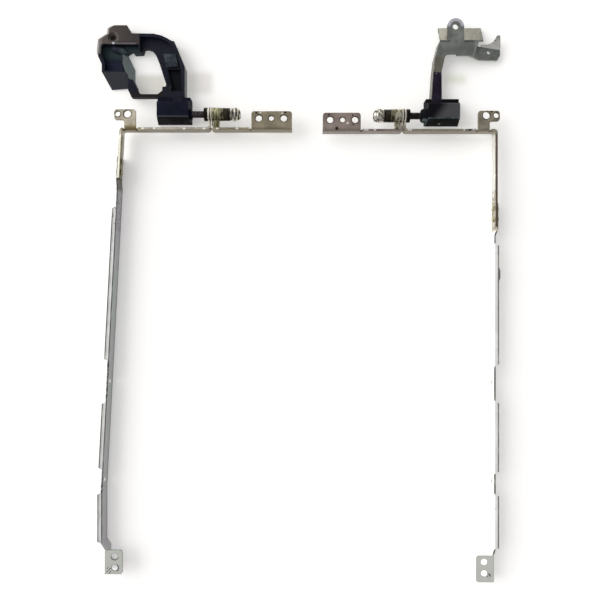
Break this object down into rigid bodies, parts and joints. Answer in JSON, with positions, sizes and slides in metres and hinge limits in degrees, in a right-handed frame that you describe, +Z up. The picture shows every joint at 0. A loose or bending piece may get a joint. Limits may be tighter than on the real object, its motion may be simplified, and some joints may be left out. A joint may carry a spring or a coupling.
{
  "type": "pair of laptop hinges",
  "caption": "Left and right laptop lid hinges opened flat: stamped lid brackets with long screen rails, friction shafts with nuts, black boots and base brackets.",
  "frame": {"origin": "on the table under the middle of the pair's outline", "axes": "+X to the right hinge along the hinge axis, +Y from the rails towards the base brackets, +Z up from the table"},
  "size_m": [0.179, 0.2478, 0.0108],
  "materials": {
    "bracket_steel": "plain stamped steel",
    "rail_steel": "plain strip steel",
    "rivet_steel": "plain steel",
    "shaft_steel": "black oxide",
    "tongue_steel": "greasy steel",
    "washer_steel": "plain steel",
    "spring_steel": "black oxide",
    "nut_steel": "bright plated",
    "boot_plastic": "fine moulded",
    "ring_casting": "black paint over a casting",
    "pad_plastic": "bare grey",
    "base_steel": "plain stamped steel",
    "tape_plastic": "black tape"
  },
  "bodies": {
    "lid_brackets": {"left_outer_bracket": "bracket_steel", "left_inner_bracket": "bracket_steel", "left_screen_rail": "rail_steel", "left_rail_rivets": "rivet_steel", "left_tongue_plate": "tongue_steel", "right_outer_bracket": "bracket_steel", "right_inner_bracket": "bracket_steel", "right_screen_rail": "rail_steel", "right_rail_rivets": "rivet_steel", "right_tongue_plate": "tongue_steel"},
    "left_base_arm": {"left_base_ring": "ring_casting", "left_arm_pad": "pad_plastic", "left_hinge_shaft": "shaft_steel", "left_friction_washers": "washer_steel", "left_disc_springs": "spring_steel", "left_end_washer": "washer_steel", "left_lock_nut": "nut_steel", "left_hinge_boot": "boot_plastic"},
    "right_base_arm": {"right_base_bracket": "base_steel", "right_neck_tape": "tape_plastic", "right_hinge_shaft": "shaft_steel", "right_friction_washers": "washer_steel", "right_disc_springs": "spring_steel", "right_end_washer": "washer_steel", "right_lock_nut": "nut_steel", "right_hinge_boot": "boot_plastic"}
  },
  "joints": [
    {"name": "left_hinge", "type": "hinge", "parent": "lid_brackets", "child": "left_base_arm", "pos_m": [-0.03882, 0.08099, 0.007], "axis": [1, 0, 0], "range_deg": [0, 180]},
    {"name": "right_hinge", "type": "hinge", "parent": "lid_brackets", "child": "right_base_arm", "pos_m": [0.04572, 0.08035, 0.007], "axis": [1, 0, 0], "range_deg": [0, 180]}
  ]
}
